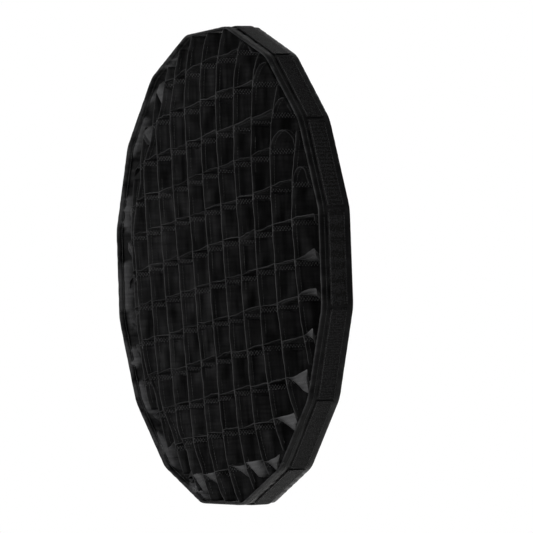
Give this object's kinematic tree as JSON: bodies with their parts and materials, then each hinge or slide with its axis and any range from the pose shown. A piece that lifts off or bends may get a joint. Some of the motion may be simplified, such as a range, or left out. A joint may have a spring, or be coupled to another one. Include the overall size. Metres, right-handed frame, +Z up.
{
  "type": "honeycomb grid",
  "caption": "Fabric egg-crate grid in a many-sided band, which fits in a softbox's mouth to narrow its light and folds flat like a concertina.",
  "frame": {"origin": "centre of the border band's front edge, in the plane of the softbox's rim", "axes": "+Z up along the long strips, +X to the right seen from the front, +Y into the softbox towards the lamp; the cells bulge forward to Y = -17 mm in the middle"},
  "size_m": [0.6558, 0.067, 0.6558],
  "materials": {
    "cloth": "satin",
    "binding": "satin",
    "tape": "matte"
  },
  "bodies": {
    "border": {"band_01": "cloth", "band_02": "cloth", "band_03": "cloth", "band_04": "cloth", "band_05": "cloth", "band_06": "cloth", "band_07": "cloth", "band_08": "cloth", "band_09": "cloth", "band_10": "cloth", "band_11": "cloth", "band_12": "cloth", "band_13": "cloth", "band_14": "cloth", "band_15": "cloth", "band_16": "cloth", "front_binding": "binding", "hook_tape": "tape", "border_tabs": "cloth", "web_07": "cloth"},
    "wall_01": {"strip_01": "cloth", "tabs_01": "cloth", "web_01": "cloth"},
    "wall_02": {"strip_02": "cloth", "tabs_02": "cloth", "web_02": "cloth"},
    "wall_03": {"strip_03": "cloth", "tabs_03": "cloth", "web_03": "cloth"},
    "wall_04": {"strip_04": "cloth", "tabs_04": "cloth", "web_04": "cloth"},
    "wall_05": {"strip_05": "cloth", "tabs_05": "cloth", "web_05": "cloth"},
    "wall_06": {"strip_06": "cloth", "tabs_06": "cloth", "web_06": "cloth"},
    "wall_07": {"strip_07": "cloth", "tabs_07": "cloth", "web_08": "cloth"},
    "wall_08": {"strip_08": "cloth", "tabs_08": "cloth", "web_09": "cloth"},
    "wall_09": {"strip_09": "cloth", "tabs_09": "cloth", "web_10": "cloth"},
    "wall_10": {"strip_10": "cloth", "tabs_10": "cloth", "web_11": "cloth"},
    "wall_11": {"strip_11": "cloth", "tabs_11": "cloth", "web_12": "cloth"},
    "wall_12": {"strip_12": "cloth", "tabs_12": "cloth", "web_13": "cloth"}
  },
  "joints": [
    {"name": "close_01", "type": "slide", "parent": "border", "child": "wall_01", "axis": [1, 0, 0], "range_m": [0, 0.2475], "deforming": ["web_01"]},
    {"name": "close_02", "type": "slide", "parent": "border", "child": "wall_02", "axis": [1, 0, 0], "range_m": [0, 0.2025], "deforming": ["web_02"]},
    {"name": "close_03", "type": "slide", "parent": "border", "child": "wall_03", "axis": [1, 0, 0], "range_m": [0, 0.1575], "deforming": ["web_03"]},
    {"name": "close_04", "type": "slide", "parent": "border", "child": "wall_04", "axis": [1, 0, 0], "range_m": [0, 0.1125], "deforming": ["web_04"]},
    {"name": "close_05", "type": "slide", "parent": "border", "child": "wall_05", "axis": [1, 0, 0], "range_m": [0, 0.0675], "deforming": ["web_05"]},
    {"name": "close_06", "type": "slide", "parent": "border", "child": "wall_06", "axis": [1, 0, 0], "range_m": [0, 0.0225], "deforming": ["web_06"]},
    {"name": "close_07", "type": "slide", "parent": "border", "child": "wall_07", "axis": [-1, 0, 0], "range_m": [0, 0.0225], "deforming": ["web_08"]},
    {"name": "close_08", "type": "slide", "parent": "border", "child": "wall_08", "axis": [-1, 0, 0], "range_m": [0, 0.0675], "deforming": ["web_09"]},
    {"name": "close_09", "type": "slide", "parent": "border", "child": "wall_09", "axis": [-1, 0, 0], "range_m": [0, 0.1125], "deforming": ["web_10"]},
    {"name": "close_10", "type": "slide", "parent": "border", "child": "wall_10", "axis": [-1, 0, 0], "range_m": [0, 0.1575], "deforming": ["web_11"]},
    {"name": "close_11", "type": "slide", "parent": "border", "child": "wall_11", "axis": [-1, 0, 0], "range_m": [0, 0.2025], "deforming": ["web_12"]},
    {"name": "close_12", "type": "slide", "parent": "border", "child": "wall_12", "axis": [-1, 0, 0], "range_m": [0, 0.2475], "deforming": ["web_13", "band_01", "band_02", "band_03", "band_04", "band_05", "band_06", "band_07", "band_08", "band_09", "band_10", "band_11", "band_12", "band_13", "band_14", "band_15", "band_16", "front_binding", "hook_tape", "border_tabs", "web_07"]}
  ],
  "couplings": [
    {"joint": "close_01", "follows": "close_12", "ratio": 1},
    {"joint": "close_02", "follows": "close_12", "ratio": 0.81818},
    {"joint": "close_03", "follows": "close_12", "ratio": 0.63636},
    {"joint": "close_04", "follows": "close_12", "ratio": 0.45455},
    {"joint": "close_05", "follows": "close_12", "ratio": 0.27273},
    {"joint": "close_06", "follows": "close_12", "ratio": 0.090909},
    {"joint": "close_07", "follows": "close_12", "ratio": 0.090909},
    {"joint": "close_08", "follows": "close_12", "ratio": 0.27273},
    {"joint": "close_09", "follows": "close_12", "ratio": 0.45455},
    {"joint": "close_10", "follows": "close_12", "ratio": 0.63636},
    {"joint": "close_11", "follows": "close_12", "ratio": 0.81818}
  ]
}
